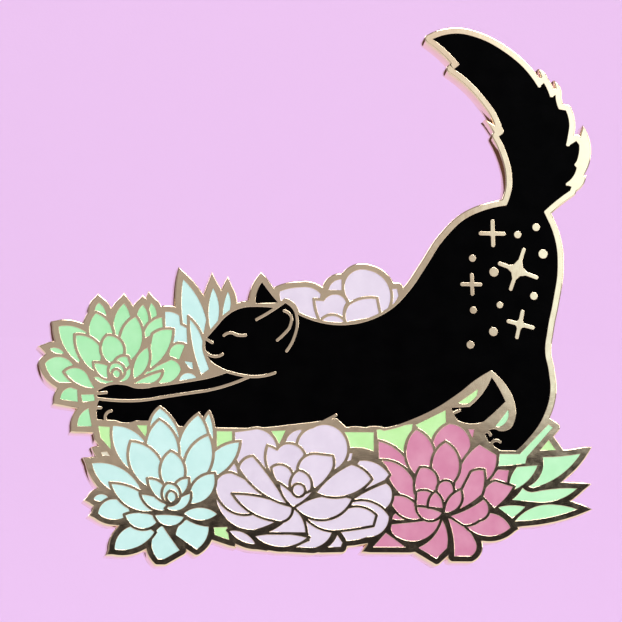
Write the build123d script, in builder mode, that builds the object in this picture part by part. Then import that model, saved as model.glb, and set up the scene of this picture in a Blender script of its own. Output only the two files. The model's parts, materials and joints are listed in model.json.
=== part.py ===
"""Enamel pin of a stretching cat over four succulents, with two butterfly clutches.

Millimetres.  X is across the design, Z is up the design, and Y runs through the
thickness: the back face is the plane y = 0, the enamelled face looks towards -Y and
the posts point towards +Y.  Artwork points are (x, z) pairs on the centre line of the
raised metal lines.
"""

import os
from math import asin, atan2, cos, degrees, hypot, radians, sin, sqrt, tan

from build123d import *

# ---------------------------------------------------------------- driving sizes
PLATE = 1.8          # die-struck plate, back face to top of the raised metal
FLOOR = 1.2          # metal left behind the enamel
ENAMEL = 0.56        # enamel thickness, a hair lower than the metal
LINE = 0.27          # raised line between two enamel colours
RIM = 0.47           # metal outside the artwork's outer lines
MIN_CELL = 0.1       # smaller pockets (mm2) are left as metal
FLARE = 0.7          # share of a star arm that widens towards the middle

POST_X = 12.0        # two posts, left and right of the middle
POST_Z = -8.0
POST_R = 0.55
POST_LENGTH = 8.0
FOOT_R = 1.6         # flange soldered to the back
FOOT = 0.4
GROOVE_Y = 6.3       # middle of the round groove where the clutch jaws snap in
GROOVE_HALF = 0.3
GROOVE_DEPTH = 0.12
SOLDER = 0.45

CLOTH_GAP = 2.45     # back face to clutch, with cloth between
CLUTCH_R = 5.75
SHEET = 0.35         # sheet brass of the clutch
RUN = 0.06           # running clearance inside the clutch
EYELET_BORE = POST_R + 0.07
BARREL_R = 0.96
DISC_Y = 0.35        # disc face above the clutch's front
CAP_Y = 3.9          # underside of the cap's top
CAP_X = 1.9
LEG_X = 3.3
LEG_Z = 2.4
PIVOT_X = 2.55
PIVOT_Y = 3.2
TRUNNION_R = 0.3
JAW_Y = 2.05
WING_TIP = (4.9, 6.4)
WING_HALF = 3.5

# ---------------------------------------------------------------- artwork
# Every shape is a list of runs.  A run starts at a corner; the other points in it
# are passed smoothly, and the next run's corner ends it.


def leaf(base, side, tip, other_side):
    """Two arcs: base to tip past one side, tip back to base past the other."""
    return [[base, side], [tip, other_side]]


# Each flower is listed from its front petal to its back petal.
AQUA_HEART = [
    leaf((-13.6, -17.6), (-13.95, -17.0), (-13.6, -16.5), (-13.05, -17.0)),
    leaf((-13.7, -17.8), (-14.35, -16.7), (-13.9, -15.85), (-12.75, -16.6)),
    leaf((-13.9, -17.6), (-15.1, -16.8), (-15.6, -15.45), (-14.4, -15.75)),
    leaf((-13.3, -17.2), (-13.1, -15.8), (-11.95, -15.35), (-12.2, -16.5)),
    leaf((-14.1, -18.05), (-12.9, -17.1), (-11.8, -16.6), (-12.2, -17.9)),
    leaf((-13.3, -18.05), (-14.6, -17.1), (-16.25, -16.75), (-15.4, -18.0)),
]
AQUA_INNER = [
    leaf((-13.5, -16.6), (-14.5, -14.8), (-13.5, -13.0), (-12.25, -14.8)),
    leaf((-12.0, -17.7), (-11.6, -15.8), (-9.7, -14.9), (-10.0, -16.8)),
    leaf((-14.4, -16.6), (-16.9, -14.9), (-17.0, -12.2), (-14.65, -13.4)),
    leaf((-12.0, -16.4), (-12.2, -13.4), (-10.15, -11.55), (-9.95, -14.2)),
    leaf((-14.6, -18.25), (-16.5, -16.4), (-18.85, -15.85), (-17.3, -17.95)),
    leaf((-15.1, -18.55), (-13.7, -18.5), (-12.3, -18.7), (-13.7, -19.65)),
    leaf((-14.5, -18.9), (-16.0, -18.35), (-17.65, -18.6), (-16.0, -19.9)),
    leaf((-12.6, -18.45), (-11.0, -17.85), (-9.4, -18.5), (-10.9, -19.15)),
]
AQUA_OUTER = [
    leaf((-13.9, -15.6), (-15.65, -12.1), (-14.45, -10.25), (-12.85, -12.3)),
    leaf((-12.6, -15.0), (-12.5, -11.4), (-11.05, -9.75), (-10.2, -11.6)),
    leaf((-9.9, -13.0), (-10.75, -11.0), (-10.1, -9.55), (-9.7, -11.0)),
    leaf((-12.75, -13.6), (-15.4, -11.4), (-14.4, -9.2), (-12.9, -11.0)),
    leaf((-11.0, -15.6), (-9.6, -12.9), (-7.4, -12.1), (-8.3, -14.3)),
    leaf((-15.4, -15.6), (-18.2, -13.5), (-18.6, -10.8), (-16.1, -11.7)),
    leaf((-15.9, -16.8), (-18.0, -14.4), (-20.5, -14.1), (-19.2, -16.3)),
    leaf((-17.0, -18.6), (-18.2, -17.2), (-20.0, -18.6), (-18.5, -19.15)),
    leaf((-18.8, -17.2), (-19.7, -16.75), (-20.4, -17.3), (-19.7, -17.6)),
    leaf((-14.9, -20.1), (-17.3, -19.6), (-18.6, -21.7), (-16.3, -21.4)),
    [[(-14.3, -19.4), (-15.4, -21.0)], [(-14.8, -22.55)], [(-14.2, -22.55)],
     [(-12.7, -21.7), (-13.5, -20.6)]],
    [[(-12.2, -18.9), (-11.0, -19.4)], [(-10.2, -19.5), (-10.4, -20.6)], [(-11.4, -21.7)],
     [(-13.3, -20.4), (-13.0, -19.5)]],
]

LILAC_HEART = [
    leaf((-2.6, -16.9), (-2.95, -16.2), (-2.35, -15.8), (-1.8, -16.3)),
    [[(-2.9, -17.9), (-3.85, -16.8)], [(-4.15, -15.65), (-3.3, -16.25)], [(-2.55, -16.95)],
     [(-0.85, -16.2), (-1.7, -17.15)]],
    leaf((-2.5, -17.2), (-3.15, -15.8), (-2.35, -14.6), (-1.2, -16.0)),
    [[(-0.95, -16.3), (-1.75, -15.5)], [(-2.45, -14.5), (-1.9, -13.5)], [(-0.7, -13.15)],
     [(0.7, -13.3), (0.75, -14.3)], [(0.45, -14.9), (-0.2, -15.7)]],
    [[(-3.2, -16.6), (-4.3, -15.7)], [(-4.75, -14.4), (-3.7, -14.15)], [(-2.85, -15.0), (-2.9, -15.9)]],
]
LILAC_INNER = [
    [[(-0.95, -16.6), (0.9, -14.8)], [(2.3, -14.0), (3.35, -14.45)], [(4.15, -15.35), (1.7, -16.9)]],
    leaf((-2.8, -17.9), (-0.2, -16.8), (2.4, -17.05), (-0.1, -18.95)),
    [[(-3.3, -17.7), (-6.0, -16.4)], [(-7.65, -14.5), (-7.0, -13.6)], [(-6.3, -13.4), (-5.0, -15.0)]],
    [[(-2.95, -17.85), (-5.6, -16.95)], [(-8.25, -16.7), (-6.6, -18.35)],
     [(-4.6, -19.05), (-3.3, -18.85)]],
    [[(-4.7, -15.2), (-5.25, -13.8)], [(-5.05, -12.45), (-4.6, -12.6)],
     [(-4.2, -12.8), (-3.7, -12.35)], [(-3.0, -12.25), (-2.3, -12.5)], [(-1.75, -13.2)], [(-2.4, -14.8)]],
    [[(-1.0, -14.5), (-2.5, -12.7)], [(-1.0, -10.8), (0.0, -10.5)], [(1.1, -10.8), (2.1, -12.4)],
     [(0.9, -14.6)]],
]
LILAC_OUTER = [
    [[(-4.8, -17.2), (-6.7, -15.6)], [(-8.2, -14.85), (-9.2, -15.1)],
     [(-9.75, -15.9), (-9.0, -17.8)], [(-6.6, -18.5)]],
    [[(-3.9, -18.9), (-7.0, -17.5)], [(-9.75, -17.0), (-8.7, -19.1)], [(-6.4, -19.95), (-5.0, -19.5)]],
    [[(-2.1, -18.5), (0.2, -18.2)], [(1.7, -17.95), (3.3, -17.8)], [(4.45, -18.5)],
     [(4.15, -19.45), (2.4, -19.75)], [(0.6, -19.95), (-1.0, -19.5)]],
    [[(1.5, -17.7), (4.0, -17.3)], [(5.65, -18.6), (5.1, -19.9)], [(3.6, -20.5), (2.7, -20.75)],
     [(1.7, -20.85)], [(1.0, -19.8), (0.9, -18.6)]],
    [[(2.3, -17.1), (3.8, -16.25)], [(5.35, -15.6), (5.85, -16.1)], [(5.95, -16.8), (5.5, -17.8)],
     [(3.5, -17.8)]],
    [[(2.4, -14.4)], [(3.0, -13.65), (4.4, -13.8)], [(5.75, -14.95)], [(5.3, -15.5), (3.8, -16.2)],
     [(2.2, -17.0)]],
    [[(-2.8, -17.9), (-2.05, -18.8)], [(-1.75, -20.15)], [(-5.9, -20.15), (-4.0, -19.3)]],
    leaf((-6.5, -20.35), (-4.2, -20.1), (-1.5, -20.45), (-4.1, -21.4)),
    [[(-2.1, -18.5), (-0.7, -19.5)], [(0.6, -20.0), (-0.1, -21.0)], [(-1.2, -21.5)],
     [(-3.3, -21.4)], [(-1.6, -20.7)]],
    [[(0.9, -20.0)], [(1.5, -20.9)], [(1.3, -21.4)], [(-0.5, -21.45), (0.4, -20.9)]],
    [[(-5.0, -15.0), (-7.3, -14.6)], [(-8.0, -13.0)], [(-8.0, -11.25), (-7.2, -11.15)],
     [(-6.0, -10.95), (-4.8, -11.4)], [(-4.1, -12.8)]],
    [[(-3.6, -12.6), (-3.2, -11.5)], [(-1.9, -10.95)], [(-2.0, -12.8)]],
    leaf((-8.7, -19.9), (-7.4, -19.95), (-6.1, -21.2), (-7.7, -20.8)),
    leaf((-7.6, -15.2), (-8.9, -14.6), (-8.1, -13.8), (-7.7, -14.4)),
    [[(1.6, -14.0)], [(1.9, -13.0)], [(2.6, -12.95)], [(2.4, -13.8)]],
]

PINK_HEART = [
    leaf((10.4, -18.3), (10.9, -16.9), (12.0, -16.15), (12.0, -17.4)),
    [[(9.0, -17.8), (9.1, -17.1)], [(9.7, -16.35), (10.25, -16.95)], [(10.4, -17.95)]],
    [[(7.9, -17.65)], [(8.0, -16.4), (8.8, -16.25)], [(9.5, -16.5)], [(9.1, -17.75)]],
    [[(10.6, -17.4), (9.85, -16.6)], [(9.95, -15.8), (10.5, -15.4)], [(11.1, -15.5), (11.4, -16.3)],
     [(10.9, -17.2)]],
    leaf((10.35, -18.2), (9.2, -17.8), (7.95, -17.65), (8.9, -18.95)),
]
PINK_INNER = [
    [[(7.9, -16.6), (7.9, -15.3)], [(8.4, -14.25), (9.3, -14.35)], [(10.0, -15.5), (9.9, -16.2)],
     [(9.6, -16.7)]],
    [[(10.7, -18.4), (11.9, -16.4)], [(12.9, -14.6), (13.4, -14.4)],
     [(14.15, -14.4), (14.2, -15.5)], [(13.9, -16.65), (12.8, -17.5)]],
    leaf((10.4, -16.2), (9.4, -13.9), (10.75, -11.95), (12.0, -14.2)),
    [[(10.7, -18.5), (12.6, -17.8)], [(13.95, -16.95), (14.5, -17.9)],
     [(13.6, -18.9), (13.0, -19.25)], [(12.1, -19.35), (11.4, -18.9)]],
    [[(8.45, -18.85), (7.9, -17.4)], [(6.1, -16.7), (5.7, -17.0)], [(5.75, -17.6), (6.7, -18.65)]],
    [[(10.2, -18.65), (7.6, -19.0)], [(5.7, -19.2), (5.6, -19.8)], [(6.2, -20.5), (8.5, -20.7)]],
]
PINK_OUTER = [
    [[(8.0, -17.5), (6.8, -16.9)], [(5.55, -15.3), (5.5, -14.6)], [(4.6, -13.65), (6.4, -13.9)],
     [(7.75, -15.15), (8.0, -16.3)]],
    [[(11.3, -16.6), (12.0, -14.0)], [(13.75, -12.1)], [(15.35, -13.05), (15.2, -14.3)], [(14.4, -15.4)]],
    leaf((8.4, -15.4), (7.1, -12.9), (8.1, -10.85), (9.75, -12.8)),
    [[(9.4, -13.1), (9.8, -11.4)], [(11.1, -10.3), (12.3, -10.7)], [(13.05, -12.4)], [(12.0, -14.4)]],
    [[(13.9, -16.85), (14.3, -15.8)], [(15.1, -15.35)], [(16.8, -15.85), (16.1, -16.9)], [(14.9, -17.9)]],
    [[(14.2, -15.4), (14.9, -14.8)], [(15.3, -14.3)], [(16.5, -14.35), (16.3, -15.2)], [(16.2, -16.0)]],
    leaf((12.3, -19.5), (14.6, -18.15), (16.45, -19.55), (14.8, -20.35)),
    [[(10.2, -18.6), (9.6, -20.0)], [(7.8, -21.3)], [(9.65, -22.4)], [(10.7, -21.4), (10.8, -20.2)]],
    [[(10.6, -18.6), (11.1, -20.4)], [(11.1, -22.15)], [(12.7, -22.15), (13.15, -21.8)],
     [(13.2, -20.6), (12.8, -19.9)]],
    [[(7.9, -15.6), (6.9, -13.1)], [(4.65, -11.9)], [(4.65, -13.9)]],
    [[(5.2, -19.9)], [(7.3, -21.4)], [(3.8, -21.4)]],
    [[(12.6, -10.75)], [(13.5, -10.75)], [(13.2, -12.0)]],
    leaf((5.7, -18.9), (6.0, -18.3), (7.3, -18.9), (6.4, -19.0)),
]

GREEN_HEART = [
    leaf((-17.95, -6.75), (-18.55, -6.4), (-18.3, -5.95), (-17.75, -6.25)),
    leaf((-18.2, -6.9), (-18.85, -6.2), (-18.6, -5.45), (-17.4, -6.1)),
    [[(-18.7, -6.9), (-19.8, -6.4)], [(-20.15, -5.35), (-19.4, -5.4)], [(-18.75, -5.6), (-18.85, -6.3)]],
    [[(-18.3, -5.25), (-17.8, -4.8)], [(-17.1, -4.8)], [(-16.85, -5.6)], [(-17.3, -6.0), (-17.9, -5.6)]],
    leaf((-18.1, -7.1), (-17.6, -6.3), (-16.9, -5.7), (-16.95, -6.7)),
    leaf((-18.1, -7.1), (-19.2, -6.6), (-20.35, -6.6), (-19.3, -7.3)),
]
GREEN_INNER = [
    leaf((-18.5, -5.6), (-19.5, -4.4), (-18.95, -2.95), (-17.4, -4.3)),
    leaf((-16.7, -6.9), (-16.6, -5.2), (-15.35, -3.85), (-15.3, -5.5)),
    [[(-17.1, -7.35), (-15.9, -6.65)], [(-14.1, -6.0), (-14.4, -6.8)], [(-15.6, -7.25)]],
    [[(-19.9, -6.4), (-21.3, -5.0)], [(-21.75, -2.95), (-20.6, -3.05)], [(-19.5, -3.9), (-19.4, -5.2)]],
    leaf((-17.1, -5.4), (-17.8, -2.9), (-16.4, -1.2), (-15.75, -3.3)),
    [[(-15.3, -6.0), (-15.3, -4.4)], [(-15.0, -2.8), (-14.3, -2.4)], [(-13.1, -2.35), (-13.6, -4.3)]],
    [[(-16.4, -6.5), (-14.9, -5.7)], [(-13.4, -4.95), (-12.8, -5.2)],
     [(-12.4, -5.9), (-13.2, -7.0)], [(-14.2, -7.3)]],
]
GREEN_OUTER = [
    leaf((-19.0, -4.6), (-20.6, -2.5), (-19.9, -0.95), (-18.4, -2.4)),
    leaf((-17.95, -3.9), (-18.45, -1.8), (-17.4, 0.0), (-16.75, -1.4)),
    [[(-15.9, -3.4), (-15.5, -2.1)], [(-14.0, -1.2)], [(-13.9, -2.6)]],
    leaf((-15.6, -2.8), (-16.4, -1.1), (-15.75, -0.1), (-15.2, -1.2)),
    leaf((-15.0, -2.2), (-15.35, -0.9), (-15.1, 0.1), (-14.45, -1.0)),
    leaf((-19.0, -2.0), (-20.1, -0.9), (-19.6, 0.0), (-18.9, -0.9)),
    [[(-19.8, -7.75), (-21.3, -7.5)], [(-22.75, -6.25), (-21.5, -5.8)], [(-20.5, -6.6), (-20.2, -7.2)]],
    [[(-21.7, -5.8), (-22.9, -4.85)], [(-24.45, -5.5), (-24.0, -6.6)], [(-23.1, -7.3)], [(-21.6, -7.3)]],
    [[(-21.4, -5.6), (-22.7, -4.2)], [(-23.25, -2.2), (-21.8, -2.15)], [(-20.4, -2.9)], [(-20.3, -4.0)]],
    leaf((-22.5, -4.7), (-23.3, -4.05), (-24.1, -4.2), (-23.4, -4.75)),
    [[(-23.15, -8.75), (-22.8, -7.8)], [(-22.1, -7.5)], [(-21.45, -7.7)], [(-21.4, -9.0)]],
    [[(-21.4, -8.1)], [(-19.95, -8.05)], [(-19.95, -8.85)], [(-21.2, -9.0)]],
    [[(-21.7, -11.1), (-21.4, -9.9)], [(-20.5, -9.25)], [(-20.2, -11.1)]],
    [[(-13.6, -4.8), (-13.2, -3.75)], [(-12.0, -3.75)], [(-12.6, -5.2)]],
]

SPIKES = [
    [[(-10.8, -6.5), (-11.5, -4.2)], [(-11.8, -1.2), (-10.6, -2.9)], [(-10.35, -4.6)], [(-9.9, -5.9)]],
    [[(-12.4, -1.9), (-12.5, 0.4)], [(-12.3, 2.3), (-10.9, 0.6)], [(-10.1, -1.5)], [(-10.4, -2.9)]],
    leaf((-9.8, -3.0), (-10.15, -0.8), (-9.6, 1.6), (-8.95, -0.6)),
    leaf((-8.9, -1.8), (-8.75, 0.0), (-8.3, 1.3), (-7.95, -0.3)),
    [[(-11.8, -3.8)], [(-11.85, -2.0), (-12.8, -0.9)], [(-13.95, -0.75)], [(-13.95, -2.4)],
     [(-13.3, -3.9)]],
    [[(-12.45, -4.85)], [(-11.9, -4.0)], [(-11.5, -4.8)]],
    [[(-12.5, -5.0)], [(-11.4, -5.15)], [(-11.3, -6.1)], [(-11.9, -5.8)]],
    leaf((-12.8, -6.95), (-12.2, -6.15), (-11.0, -6.75), (-11.9, -7.0)),
]

BACK_LILAC = [
    leaf((-0.2, -1.5), (1.0, -0.85), (2.1, -1.5), (1.0, -1.8)),
    [[(-0.2, -1.5), (-0.55, -0.5)], [(-0.7, 0.5)], [(0.15, 0.45), (0.55, 0.85)],
     [(1.2, 1.05), (1.95, 0.8)], [(2.3, 0.2), (2.0, -0.5)], [(2.1, -1.6)]],
    [[(2.1, -1.6), (2.05, -0.5)], [(2.4, 0.1), (3.4, 0.6)], [(4.95, 0.7)], [(5.25, -1.0)]],
    [[(2.6, 0.1), (2.1, 2.3)], [(4.3, 3.25), (6.0, 2.0)], [(5.5, -0.9)]],
    [[(0.5, 1.2)], [(1.9, 1.2)], [(1.95, 2.4), (1.1, 2.2)]],
    [[(-3.8, 1.2), (-3.8, 0.4)], [(-3.2, -1.0)], [(-0.3, -1.6)], [(0.05, 1.0), (-0.6, 1.5)],
     [(-1.7, 1.65), (-2.9, 1.5)]],
    [[(5.5, -0.9), (6.15, 0.4)], [(6.15, 1.65)], [(6.85, 1.65)], [(7.0, 0.9), (6.6, 0.2)]],
]

LEAVES = [
    [[(17.6, -15.9), (19.0, -14.9)], [(19.25, -13.15), (21.2, -13.05)],
     [(23.1, -12.75), (21.8, -14.3)], [(18.5, -16.1)]],
    [[(16.4, -16.4)], [(16.2, -15.6), (16.5, -14.8)], [(17.0, -14.05)], [(19.1, -13.85), (18.4, -15.1)]],
    [[(16.2, -17.15), (17.0, -16.5)], [(17.5, -15.8), (18.0, -16.2)],
     [(18.5, -16.25), (20.4, -15.95)], [(22.7, -15.9), (20.8, -17.1)], [(18.6, -17.35)]],
    [[(15.0, -17.7), (16.3, -17.45)], [(17.95, -17.6), (17.3, -18.2)], [(16.5, -18.8)]],
    [[(16.5, -19.05), (18.0, -17.8)], [(20.3, -17.35), (21.5, -17.5)], [(22.7, -17.85), (20.3, -18.6)]],
    [[(15.2, -14.25)], [(15.45, -12.9)], [(17.3, -12.9)], [(20.0, -10.2)], [(20.6, -10.6)],
     [(18.1, -13.3)], [(17.9, -14.0)]],
]

MOSS = [
    [[(-19.95, -10.8)], [(-18.6, -10.9)], [(-18.6, -13.3)], [(-19.7, -12.0)]],
    [[(-16.7, -10.7)], [(-15.4, -10.7)], [(-15.5, -12.3)]],
    [[(-9.6, -11.15)], [(-8.0, -11.15)], [(-8.0, -12.6)], [(-9.6, -12.9)]],
    [[(-10.0, -19.55)], [(-8.6, -19.5)], [(-8.4, -20.9)], [(-9.9, -20.4)]],
    [[(-4.9, -11.1)], [(-3.2, -11.0)], [(-4.0, -12.6)]],
    [[(1.6, -11.1)], [(4.5, -11.1)], [(4.45, -13.1), (3.2, -12.7)], [(1.9, -12.8)]],
    [[(4.5, -10.9)], [(8.0, -10.3)], [(7.5, -13.3)], [(4.6, -12.2)]],
    [[(7.9, -10.5)], [(10.95, -9.0)], [(10.95, -10.6)], [(9.6, -12.3)]],
    leaf((11.7, -8.55), (12.7, -7.9), (13.85, -7.05), (13.1, -8.6)),
    [[(20.0, -11.55)], [(20.85, -12.75)], [(18.9, -12.8)]],
]
LEG_MINT = [leaf((14.9, -10.75), (15.8, -9.7), (16.45, -8.8), (16.35, -10.2))]
CREAM = [[[(-19.8, -13.1)], [(-19.0, -13.05)], [(-18.5, -13.7)], [(-19.5, -13.6)]]]

CAT_BODY = [
    [(-10.45, -3.2), (-9.5, -2.1), (-8.7, -1.2), (-7.7, -0.5)],
    [(-6.3, -0.15), (-5.2, -0.15)],
    [(-4.3, -0.2)],
    [(-3.2, 0.4), (-2.6, 0.1)],
    [(-2.15, -0.75), (0.0, -1.5), (2.0, -1.65), (4.2, -1.2), (6.1, -0.2), (8.0, 1.75),
     (9.2, 3.5), (11.0, 6.15), (13.0, 8.05), (15.0, 8.95)],
    [(16.75, 9.35), (17.2, 10.7), (17.25, 12.1), (16.95, 13.6)],
    [(16.15, 15.5)],
    [(16.6, 15.85), (16.2, 17.1), (14.8, 19.2), (13.3, 20.7)],
    [(12.2, 21.5)],
    [(12.75, 21.95), (11.7, 23.1)],
    [(10.3, 24.2), (12.6, 24.9), (15.0, 24.45), (17.0, 23.4), (19.2, 21.5)],
    [(20.1, 20.2)],
    [(20.6, 20.65), (20.95, 20.0)],
    [(21.2, 19.3)],
    [(21.75, 19.6), (21.75, 18.9)],
    [(21.95, 18.2)],
    [(22.6, 18.1), (22.9, 16.8), (22.75, 15.7)],
    [(22.55, 14.85)],
    [(23.4, 15.4)],
    [(23.75, 14.9), (23.65, 13.9)],
    [(23.3, 13.0)],
    [(23.45, 12.8), (23.2, 12.1)],
    [(22.45, 11.3)],
    [(22.95, 11.1)],
    [(22.75, 10.6), (21.9, 10.0)],
    [(20.35, 8.7)],
    [(20.85, 7.6), (21.35, 5.8), (21.4, 3.4), (20.9, 0.6), (20.35, -1.8), (20.05, -4.0),
     (20.3, -5.5), (20.4, -7.4), (19.6, -9.9), (18.1, -11.9)],
    [(17.1, -12.85)],
    [(15.6, -12.85), (15.0, -12.45), (14.5, -12.0)],
    [(14.15, -11.3), (14.4, -10.95)],
    [(15.6, -10.85), (16.4, -10.7), (16.9, -9.9), (16.9, -8.5), (16.2, -7.0)],
    [(15.0, -5.75), (13.9, -6.4), (12.0, -7.85), (10.0, -9.15), (8.0, -10.1), (6.2, -10.75)],
    [(5.3, -10.95), (4.6, -10.8)],
    [(3.6, -10.95), (2.8, -10.85)],
    [(1.9, -10.95)],
    [(1.05, -10.15), (-1.0, -10.5), (-3.0, -10.75), (-4.5, -10.95)],
    [(-6.0, -11.1)],
    [(-9.6, -11.1)],
    [(-12.7, -11.0)],
    [(-15.0, -10.55)],
    [(-16.5, -10.55), (-17.4, -10.75)],
    [(-18.3, -10.55)],
    [(-19.95, -10.5), (-20.05, -9.8)],
    [(-19.8, -8.6), (-20.0, -8.0)],
    [(-19.6, -7.6), (-18.6, -7.2), (-17.5, -7.2), (-16.3, -7.5)],
    [(-15.0, -7.35), (-12.0, -6.9), (-10.0, -6.5)],
    [(-8.6, -6.05)],
    [(-9.6, -5.5), (-10.2, -4.9)],
    [(-10.5, -3.9)],
]
FAR_EAR = [[(-6.0, -0.1), (-5.8, 1.2)], [(-5.25, 2.15), (-4.5, 1.1)], [(-3.6, 0.0)]]
FAR_LEG = [
    [(15.0, -5.95), (15.75, -7.1)],
    [(16.35, -8.4), (15.4, -9.3)],
    [(14.3, -10.25), (13.0, -10.5)],
    [(11.8, -10.2)],
    [(11.4, -9.6)],
    [(11.15, -8.85)],
    [(12.9, -8.75), (13.9, -7.8)],
]

# Thin ridges that draw the cat's face, paws and fur inside the black.
RIDGES = [
    [(-5.8, -1.4), (-4.3, -0.5), (-3.25, 0.25)],
    [(-3.25, 0.25), (-2.6, -0.2), (-2.2, -1.6), (-2.45, -2.8), (-3.2, -4.15)],
    [(-3.35, -0.6), (-2.8, -0.95), (-2.85, -1.95), (-3.45, -2.7), (-4.0, -3.2)],
    [(-8.7, -2.85), (-8.1, -2.6), (-7.5, -2.8), (-6.8, -2.8)],
    [(-10.4, -3.1), (-9.75, -3.5)],
    [(-10.45, -4.2), (-9.9, -4.65), (-8.85, -4.5)],
    [(-8.9, -5.9), (-7.6, -6.25), (-6.2, -6.45), (-4.3, -6.1)],
    [(-6.5, -6.45), (-9.0, -7.4), (-13.0, -8.15), (-16.8, -8.7), (-19.8, -8.55)],
    [(-19.9, -8.1), (-19.05, -8.0)],
    [(-20.0, -9.35), (-19.55, -9.35)],
    [(-19.1, -10.5), (-19.1, -9.9), (-18.65, -9.6)],
    [(14.1, -11.4), (14.5, -11.05), (14.75, -11.35)],
    [(14.75, -12.3), (15.1, -11.85), (15.6, -11.95)],
    [(11.3, -9.55), (12.05, -9.2)],
    [(0.0, -10.3), (1.05, -9.75)],
    [(16.35, 16.5), (16.65, 15.95)],
    [(12.2, 22.3), (12.7, 22.0)],
    [(19.7, 21.0), (20.15, 20.15)],
    [(21.05, 20.0), (21.3, 19.3)],
    [(22.0, 18.9), (22.05, 18.25)],
    [(22.9, 15.6), (22.65, 14.85)],
    [(23.6, 13.5), (23.25, 13.05)],
    [(23.1, 11.7), (22.4, 11.25)],
]
# centre x, centre z, arm lengths up/right/down/left, turn, arm width, core radius
STARS = [
    ((17.6, 3.4), (1.95, 1.85, 1.8, 1.65), -20.0, 0.36, 0.62),
    ((15.5, 6.65), (1.1, 1.0, 1.05, 1.1), 0.0, 0.36, 0.3),
    ((13.5, 2.05), (0.85, 0.75, 0.85, 0.9), 0.0, 0.34, 0.28),
    ((17.7, -1.45), (1.15, 1.2, 1.2, 1.05), -14.0, 0.36, 0.4),
]
DOTS = [
    (19.45, 7.3, 0.35), (17.75, 6.6, 0.33), (13.6, 4.4, 0.32), (15.5, 3.2, 0.42), (20.0, 4.9, 0.42),
    (19.05, 1.1, 0.35), (15.95, 0.25, 0.3), (13.55, -0.25, 0.32), (15.3, -2.15, 0.4), (13.2, -3.35, 0.35),
]
# Solid metal tufts and back-row leaf tips that only shape the plate's edge.
TUFTS = [
    leaf((16.9, 14.0), (15.95, 15.6), (15.1, 17.0), (16.3, 16.1)),
    leaf((13.6, 20.5), (12.6, 21.2), (11.95, 21.95), (12.9, 21.7)),
    leaf((20.9, 20.3), (20.3, 21.1), (20.1, 21.75), (20.8, 21.3)),
    leaf((22.1, 19.1), (21.6, 20.1), (21.5, 20.75), (22.1, 20.1)),
    leaf((23.1, 11.2), (24.6, 13.4), (24.05, 16.7), (23.3, 13.8)),
    leaf((21.9, 10.5), (23.2, 10.6), (24.2, 12.2), (22.9, 11.4)),
]


# ---------------------------------------------------------------- helpers
def unit(x, z):
    """Vector of length one."""
    size = hypot(x, z)
    return x / size, z / size


def arc_leaving(start, end, way):
    """Arc (or line) from start to end that leaves start along the unit vector way."""
    chord_x, chord_z = end[0] - start[0], end[1] - start[1]
    turn = atan2(way[0] * chord_z - way[1] * chord_x, way[0] * chord_x + way[1] * chord_z)
    if abs(turn) < 0.01:
        Line(start, end)
        return
    rise = tan(turn / 2) / 2
    middle = ((start[0] + end[0]) / 2 + rise * chord_z, (start[1] + end[1]) / 2 - rise * chord_x)
    ThreePointArc(start, middle, end)


def smooth_arcs(points):
    """Chain of tangent arcs through four or more points, two arcs for each step."""
    steps = [unit(b[0] - a[0], b[1] - a[1]) for a, b in zip(points, points[1:])]
    sizes = [hypot(b[0] - a[0], b[1] - a[1]) for a, b in zip(points, points[1:])]
    ways = [
        unit(before[0] * size_after + after[0] * size_before,
             before[1] * size_after + after[1] * size_before)
        for before, after, size_before, size_after in zip(steps, steps[1:], sizes, sizes[1:])
    ]
    ends = []
    for step, way in ((steps[0], ways[0]), (steps[-1], ways[-1])):
        along = 2 * (step[0] * way[0] + step[1] * way[1])
        ends.append((along * step[0] - way[0], along * step[1] - way[1]))
    ways = [ends[0], *ways, ends[1]]
    for start, end, way, way_end in zip(points, points[1:], ways, ways[1:]):
        step_x, step_z = end[0] - start[0], end[1] - start[1]
        across = step_x * (way[0] + way_end[0]) + step_z * (way[1] + way_end[1])
        bend = 1 - way[0] * way_end[0] - way[1] * way_end[1]
        square = step_x**2 + step_z**2
        if bend < 1e-6:
            reach = square / (2 * across)
        else:
            reach = (sqrt(across**2 + 2 * bend * square) - across) / (2 * bend)
        joint = ((start[0] + end[0] + reach * (way[0] - way_end[0])) / 2,
                 (start[1] + end[1] + reach * (way[1] - way_end[1])) / 2)
        arc_leaving(start, joint, way)
        chord = unit(end[0] - joint[0], end[1] - joint[1])
        along = 2 * (chord[0] * way_end[0] + chord[1] * way_end[1])
        arc_leaving(joint, end, (along * chord[0] - way_end[0], along * chord[1] - way_end[1]))


def draw(points):
    """Add one run to the open line sketch: straight, one arc or a smooth chain of arcs."""
    if len(points) == 2:
        Line(*points)
    elif len(points) == 3:
        ThreePointArc(*points)
    else:
        smooth_arcs(points)


def flat(runs, grow=0.0):
    """Flat shape inside a closed list of runs, grown or shrunk all round."""
    with BuildSketch() as shape:
        with BuildLine():
            for run, after in zip(runs, runs[1:] + runs[:1]):
                draw([*run, after[0]])
        make_face()
        if grow:
            offset(amount=grow)
    return shape.sketch


def ridge(points, width=LINE):
    """Round-ended raised line along a few points."""
    with BuildSketch() as line:
        with BuildLine() as path:
            draw(points)
        trace(path.line, line_width=width)
        with Locations(points[0], points[-1]):
            Circle(width / 2)
    return line.sketch


def star(centre, arms, turn, width, core):
    """Four-armed star: arm lengths go clockwise from the top, and core is how far arms flare."""
    with BuildSketch() as shape:
        for quarter, length in enumerate(arms):
            with Locations(Location((*centre, 0), (0, 0, turn - 90 * quarter))):
                with Locations((0, length / 2)):
                    Rectangle(width, length)
                with Locations((0, length)):
                    Circle(width / 2)
                Polygon((-core, 0), (core, 0), (0, FLARE * length), align=(Align.NONE, Align.NONE))
    return shape.sketch


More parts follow.
